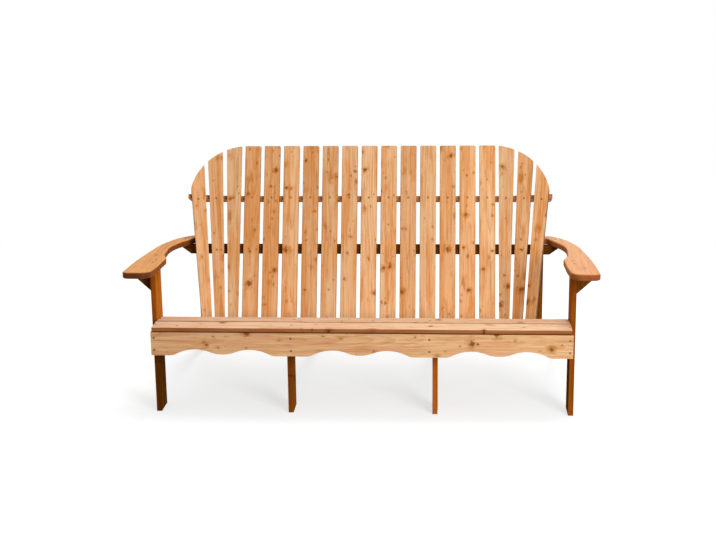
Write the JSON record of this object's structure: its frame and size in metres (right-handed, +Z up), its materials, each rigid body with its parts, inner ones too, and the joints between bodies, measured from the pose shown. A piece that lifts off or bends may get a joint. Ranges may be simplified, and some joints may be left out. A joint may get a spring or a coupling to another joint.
{
  "type": "slatted garden bench",
  "caption": "Wide wooden garden bench with a leaning, fanned slat back, sloped slat seat, scalloped apron and shaped paddle arms on brackets.",
  "frame": {"origin": "bottom centre of the whole bench, between the feet", "axes": "+X along the bench, to the right of someone who looks at its front; -Y the front; +Z up"},
  "size_m": [1.775, 1.017, 0.9654],
  "materials": {
    "apron_wood": "bare sanded softwood board with knots, faces rounded slightly at the edges",
    "seat_wood": "bare sanded softwood board, pale",
    "back_wood": "bare sanded softwood board with knots and vertical grain",
    "arm_wood": "bare sanded softwood board, smooth",
    "frame_wood": "bare sanded softwood board, warmer and darker"
  },
  "bodies": {
    "root": {"apron": "apron_wood", "stringer_1": "frame_wood", "stringer_2": "frame_wood", "stringer_3": "frame_wood", "stringer_4": "frame_wood", "front_leg_1": "frame_wood", "front_leg_2": "frame_wood", "front_leg_3": "frame_wood", "front_leg_4": "frame_wood", "seat_slat_1": "seat_wood", "seat_slat_2": "seat_wood", "seat_slat_3": "seat_wood", "seat_slat_4": "seat_wood", "seat_slat_5": "seat_wood", "back_slat_01": "back_wood", "back_slat_02": "back_wood", "back_slat_03": "back_wood", "back_slat_04": "back_wood", "back_slat_05": "back_wood", "back_slat_06": "back_wood", "back_slat_07": "back_wood", "back_slat_08": "back_wood", "back_slat_09": "back_wood", "back_slat_10": "back_wood", "back_slat_11": "back_wood", "back_slat_12": "back_wood", "back_slat_13": "back_wood", "back_slat_14": "back_wood", "back_slat_15": "back_wood", "back_slat_16": "back_wood", "back_slat_17": "back_wood", "back_slat_18": "back_wood", "back_slat_19": "back_wood", "upper_back_rail": "frame_wood", "lower_back_rail": "frame_wood", "rear_cross_rail": "frame_wood", "arm_rail": "frame_wood", "rear_post_left": "frame_wood", "rear_post_right": "frame_wood", "arm_left": "arm_wood", "arm_right": "arm_wood", "arm_bracket_left": "frame_wood", "arm_bracket_right": "frame_wood"}
  },
  "joints": []
}
